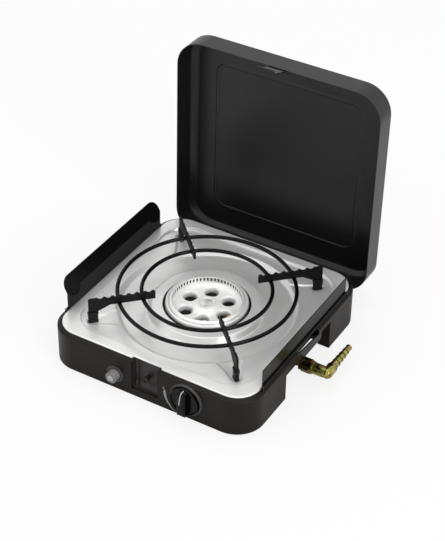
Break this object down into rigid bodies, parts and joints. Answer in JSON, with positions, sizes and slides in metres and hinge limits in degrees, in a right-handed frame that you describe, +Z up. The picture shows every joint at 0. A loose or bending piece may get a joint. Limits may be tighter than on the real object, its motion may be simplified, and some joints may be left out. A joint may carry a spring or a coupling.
{
  "type": "camping gas stove",
  "caption": "Camping gas stove with a stainless drip tray, an inward-flame burner, a pot grate, folding windshields, a hinged lid and a side gas inlet.",
  "frame": {"origin": "centre of the base on the table", "axes": "+Z up, +Y to the back with the lid hinge, +X to the right with the gas inlet"},
  "size_m": [0.3576, 0.3866, 0.3521],
  "materials": {
    "body_enamel": "gloss enamel, brownish black",
    "windshield_enamel": "satin enamel, black",
    "tray_steel": "brushed stainless steel",
    "burner_alloy": "die-cast, matt",
    "burner_steel": "pressed steel",
    "zinc_steel": "zinc plated",
    "grate_enamel": "gloss enamel, black",
    "rubber": "matt",
    "knob_plastic": "gloss black",
    "button_plastic": "grey",
    "trim_plastic": "black",
    "brass": "yellow passivated",
    "copper": "copper tube",
    "black_steel": "black",
    "ceramic": "white ceramic"
  },
  "bodies": {
    "base": {"base_shell": "body_enamel", "bottom_pan": "zinc_steel", "rubber_feet": "rubber", "bottom_screws": "zinc_steel", "inner_screws": "zinc_steel", "drip_tray": "tray_steel", "burner_bowl": "burner_alloy", "burner_ring": "burner_alloy", "burner_dish": "burner_steel", "burner_hub": "burner_alloy", "burner_bracket": "burner_steel", "mixing_tube": "burner_steel", "air_shutter": "burner_steel", "gas_jet": "brass", "gas_valve": "brass", "valve_bracket": "burner_steel", "knob_bezel": "trim_plastic", "gas_pipe": "copper", "inlet_bracket": "black_steel", "inlet_nut": "brass", "inlet_elbow": "brass", "hose_tail": "brass", "piezo_igniter": "trim_plastic", "igniter_bezel": "trim_plastic", "igniter_nut": "zinc_steel", "ignition_lead": "trim_plastic", "electrode_insulator": "ceramic", "spark_electrode": "copper", "thermocouple": "copper", "thermocouple_lead": "copper", "grate_outer_ring": "grate_enamel", "grate_inner_ring": "grate_enamel", "grate_arm_front_left": "grate_enamel", "grate_arm_front_right": "grate_enamel", "grate_arm_back_left": "grate_enamel", "grate_arm_back_right": "grate_enamel", "foot_cap_front_left": "rubber", "foot_cap_front_right": "rubber", "foot_cap_back_left": "rubber", "foot_cap_back_right": "rubber", "hinge_bracket_left": "zinc_steel", "hinge_bracket_right": "zinc_steel", "hinge_pins": "zinc_steel", "catch_hook": "zinc_steel", "windshield_pins": "zinc_steel", "windshield_lugs": "body_enamel"},
    "lid": {"lid_shell": "body_enamel", "lid_arm_left": "body_enamel", "lid_arm_right": "body_enamel", "lid_rivets": "body_enamel", "latch_pin": "zinc_steel", "latch_bracket": "body_enamel"},
    "latch": {"lid_latch": "body_enamel"},
    "left_wing": {"windshield_left": "windshield_enamel"},
    "right_wing": {"windshield_right": "windshield_enamel"},
    "carriage": {"valve_collar": "burner_steel"},
    "knob": {"control_knob": "knob_plastic", "valve_spindle": "brass"},
    "button": {"igniter_button": "button_plastic"}
  },
  "joints": [
    {"name": "lid_hinge", "type": "hinge", "parent": "base", "child": "lid", "pos_m": [0, 0.1455, 0.0335], "axis": [1, 0, 0], "range_deg": [0, 91]},
    {"name": "left_windshield_fold", "type": "hinge", "parent": "base", "child": "left_wing", "pos_m": [-0.1514, 0, 0.0602], "axis": [0, 1, 0], "range_deg": [0, 55]},
    {"name": "right_windshield_fold", "type": "hinge", "parent": "base", "child": "right_wing", "pos_m": [0.1514, 0, 0.0602], "axis": [0, -1, 0], "range_deg": [0, 55]},
    {"name": "latch_swing", "type": "hinge", "parent": "lid", "child": "latch", "pos_m": [0, 0.17723, 0.33309], "axis": [1, 0, 0], "range_deg": [0, 20]},
    {"name": "knob_push", "type": "slide", "parent": "base", "child": "carriage", "axis": [0, 1, 0], "range_m": [0, 0.003], "stiffness_N_per_m": 400},
    {"name": "knob_turn", "type": "hinge", "parent": "carriage", "child": "knob", "pos_m": [0.064, -0.1585, 0.0316], "axis": [0, -1, 0], "range_deg": [0, 150]},
    {"name": "igniter_push", "type": "slide", "parent": "base", "child": "button", "axis": [0, 1, 0], "range_m": [0, 0.005], "stiffness_N_per_m": 500}
  ],
  "couplings": [
    {"joint": "left_windshield_fold", "follows": "lid_hinge", "ratio": 0.6},
    {"joint": "right_windshield_fold", "follows": "lid_hinge", "ratio": 0.6}
  ]
}
